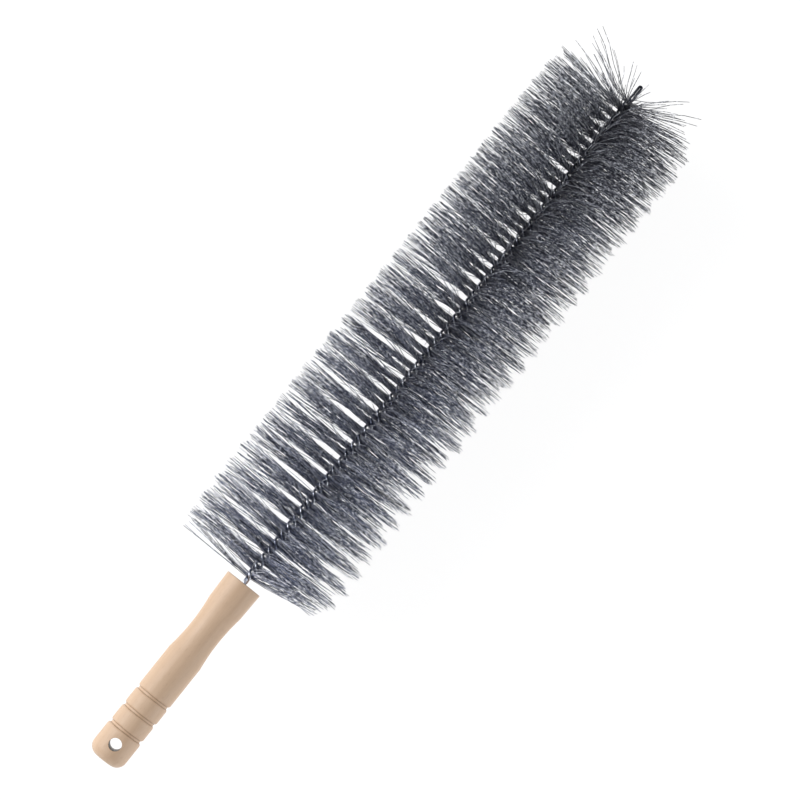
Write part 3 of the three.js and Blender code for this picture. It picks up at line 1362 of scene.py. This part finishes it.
    def half(self, stance: Stance, offset: float, draws: random.Random) -> list[Vector]:
        """One end of a filament.

        Args:
            stance: Where it stands and points.
            offset: Its place in the clamped layer.
            draws: Source of random numbers.

        Returns:
            The points from where it leaves the core to its tip.
        """
        lock = Vector((stance.leftward, stance.upward, stance.along / self.lock_size)) * self.lock_rate
        turn = self.turn(stance, lock, draws)
        stray = self.stray(stance, lock, draws)
        pair = stance.side.value * self.pair_lean.at(stance.progress) * self.pair_share.at(stance.left_share)
        splay = self.splay(stance, draws)
        length = self.free_length(stance, pair + stray, splay, draws)
        bow = draws.gauss(0.0, self.bow)
        rooted_pair = pair * self.root_lean.at(stance.left_share)
        rooted_stray = stray * self.root_stray.at(stance.progress)
        pair_curve = self.pair_curve.at(stance.left_share)
        stray_curve = self.stray_curve.at(max(stance.progress, -self.stray_right * stance.leftward))
        turn_curve = self.turn_curve.at(stance.progress)
        wire_way = Vector((0.0, math.cos(stance.leg), math.sin(stance.leg)))
        knee = self.axis.point(stance.along, self.root_reach, stance.out) + wire_way * offset
        knee.x += rooted_pair + rooted_stray
        points = [knee]
        for share in self.stations:
            tilt = splay * min(1.0, self.splay_growth.at(share))
            aside = (pair - rooted_pair) * share ** pair_curve + (stray - rooted_stray) * share ** stray_curve
            angle = stance.out + turn * share ** turn_curve
            out_way = Vector((0.0, math.cos(angle), math.sin(angle)))
            point = knee + out_way * (length * share * math.cos(tilt))
            point.x += length * share * math.sin(tilt) + aside + bow * math.sin(math.pi * share)
            point.z = max(point.z, self.floor_gap)
            points.append(point)
        return points

    def section(self, index: int, draws: random.Random) -> bpy.types.Object:
        """One stretch of the brush.

        Args:
            index: Which stretch, from the handle.
            draws: Source of random numbers.

        Returns:
            The stretch's filaments as one piece.
        """
        grown = SweptBars(f"filaments_{index + 1}", self.radius, self.rounding)
        share = (self.wire.last_filament - self.wire.first_filament) / len(self.nodes)
        start = self.wire.first_filament + index * share
        here = self.count // len(self.nodes)
        for k in range(here):
            along = start + share * (k + draws.random()) / here
            if not self.stands(along, draws):
                continue
            offset = draws.uniform(-self.layer, self.layer)
            near, far = (self.half(self.stance(along, side), offset, draws) for side in Side)
            grown.lay(near[::-1] + far, self.tip_share)
        return grown.swept(grown.stations - 1, draws)

    def build(self) -> list[bpy.types.Object]:
        """Grows every stretch, colours it and hangs it on the frame.

        Returns:
            The stretches, from the handle to the tip.
        """
        draws = random.Random(self.seed)
        nylon = self.finish.material(self.axis.butt + self.wire.first_filament,
                                     self.axis.butt + self.wire.last_filament, self.axis.height)
        stretches = []
        for index, node in enumerate(self.nodes):
            piece = self.section(index, draws)
            piece.data.materials.clear()
            piece.data.materials.append(nylon)
            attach(piece, BODY)
            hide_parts(node)
            stretches.append(piece)
        return stretches


@dataclass(frozen=True)
class Lamp:
    """A soft round lamp that faces the brush.

    Attributes:
        name: Its name.
        place: Where it hangs, from where the middle of the picture meets the axis.
        size: Width of its face.
        power: Its power in watts.
    """

    name: str
    place: Triple
    size: float
    power: float


@dataclass
class Studio:
    """A pale floor, soft light from the left of the picture and a camera above the brush.

    Attributes:
        axis: The brush axis.
        camera_height: Camera above the axis.
        camera_foot: Where the camera stands over the axis, from the butt.
        aim: Where the middle of the picture meets the axis, from the butt.
        aim_aside: How far the middle of the picture lies to the right of the axis.
        tilt: Slope of the axis in the picture, in degrees.
        scale: Pixels for each metre at the aim.
        picture: Width of the picture in pixels.
        sensor: Width of the camera's sensor, in millimetres.
        sight: How far the camera sees.
        floor_reach: Half the width of the floor.
        lamps: The lamps.
        horizon: Colour of the surroundings at the horizon.
        overhead: Colour of the surroundings straight above.
        sky_strength: Strength of the light from the surroundings.
        finish: The floor.
    """

    axis: BrushAxis
    camera_height: float = 1.5
    camera_foot: float = 0.115
    aim: float = 0.23085
    aim_aside: float = 0.00358
    tilt: float = 51.36
    scale: float = 2002.0
    picture: int = 800
    sensor: float = 36.0
    sight: float = 50.0
    floor_reach: float = 6.0
    lamps: tuple[Lamp, ...] = (Lamp("key_lamp", (-0.25, 1.25, 0.85), 1.3, 17.0),
                               Lamp("fill_lamp", (0.05, -1.3, 0.22), 1.0, 5.0))
    horizon: Colour = (0.85, 0.86, 0.88)
    overhead: Colour = (0.20, 0.205, 0.215)
    sky_strength: float = 0.8
    finish: FloorFinish = field(default_factory=FloorFinish)

    def camera(self) -> bpy.types.Object:
        """Sets the camera where the picture was taken from.

        Returns:
            The camera.
        """
        eye = self.axis.point(self.camera_foot) + Vector((0.0, 0.0, self.camera_height))
        target = self.axis.point(self.aim) - Vector((0.0, self.aim_aside, 0.0))
        back = (eye - target).normalized()
        brush_way = Vector((1.0, 0.0, 0.0))
        brush_way = (brush_way - back * brush_way.dot(back)).normalized()
        left_way = back.cross(brush_way)
        slope = math.radians(self.tilt)
        right = brush_way * math.cos(slope) - left_way * math.sin(slope)
        up = brush_way * math.sin(slope) + left_way * math.cos(slope)
        data = bpy.data.cameras.new("picture_camera")
        data.sensor_width = self.sensor
        data.lens = self.sensor * self.scale * (eye - target).length / self.picture
        data.clip_end = self.sight
        camera = bpy.data.objects.new("picture_camera", data)
        turn = Matrix((right, up, back)).transposed().to_4x4()
        camera.matrix_world = Matrix.Translation(eye) @ turn
        bpy.context.scene.collection.objects.link(camera)
        bpy.context.scene.camera = camera
        return camera

    def floor(self) -> bpy.types.Object:
        """Lays the floor.

        Returns:
            The floor.
        """
        sheet = bmesh.new()
        bmesh.ops.create_grid(sheet, x_segments=1, y_segments=1, size=self.floor_reach)
        mesh = bpy.data.meshes.new("floor")
        sheet.to_mesh(mesh)
        sheet.free()
        mesh.materials.append(self.finish.material())
        floor = bpy.data.objects.new("floor", mesh)
        bpy.context.scene.collection.objects.link(floor)
        return floor

    def hang(self, lamp: Lamp) -> bpy.types.Object:
        """Hangs a lamp.

        Args:
            lamp: The lamp.

        Returns:
            The lamp as an object.
        """
        data = bpy.data.lights.new(lamp.name, "AREA")
        data.shape = "DISK"
        data.size = lamp.size
        data.energy = lamp.power
        hung = bpy.data.objects.new(lamp.name, data)
        place = Vector(lamp.place)
        hung.location = self.axis.point(self.aim) + place
        hung.rotation_euler = place.to_track_quat("Z", "Y").to_euler()
        bpy.context.scene.collection.objects.link(hung)
        return hung

    def sky(self) -> None:
        """Lights the surroundings, paler by the horizon than overhead."""
        world = bpy.data.worlds.new("studio")
        world.use_nodes = True
        bpy.context.scene.world = world
        nodes, links = world.node_tree.nodes, world.node_tree.links
        way = nodes.new("ShaderNodeTexCoord")
        parts = nodes.new("ShaderNodeSeparateXYZ")
        ramp = nodes.new("ShaderNodeValToRGB")
        links.new(way.outputs["Generated"], parts.inputs[0])
        links.new(parts.outputs["Z"], ramp.inputs[0])
        ramp.color_ramp.elements[0].color = (*self.horizon, 1.0)
        ramp.color_ramp.elements[1].color = (*self.overhead, 1.0)
        links.new(ramp.outputs[0], nodes["Background"].inputs["Color"])
        nodes["Background"].inputs["Strength"].default_value = self.sky_strength

    def build(self) -> None:
        """Sets the whole studio."""
        self.camera()
        self.floor()
        for lamp in self.lamps:
            self.hang(lamp)
        self.sky()
        bpy.context.scene.view_settings.view_transform = "Standard"


def main() -> None:
    """Builds the studio and the brush, piece by piece."""
    logging.basicConfig(level=logging.INFO, format="%(name)s: %(message)s")
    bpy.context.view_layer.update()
    axis = BrushAxis.from_frame()
    Studio(axis).build()
    handle = Handle(axis).build()
    wire = CoreWire(axis)
    nodes = tuple(sorted(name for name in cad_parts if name.startswith("bristle_section")))
    pieces = [handle, wire.build(), *Filaments(axis, wire, nodes).build()]
    for piece in pieces:
        LOG.info("%s: %d faces", piece.name, len(piece.data.polygons))


if __name__ == "__main__":
    main()
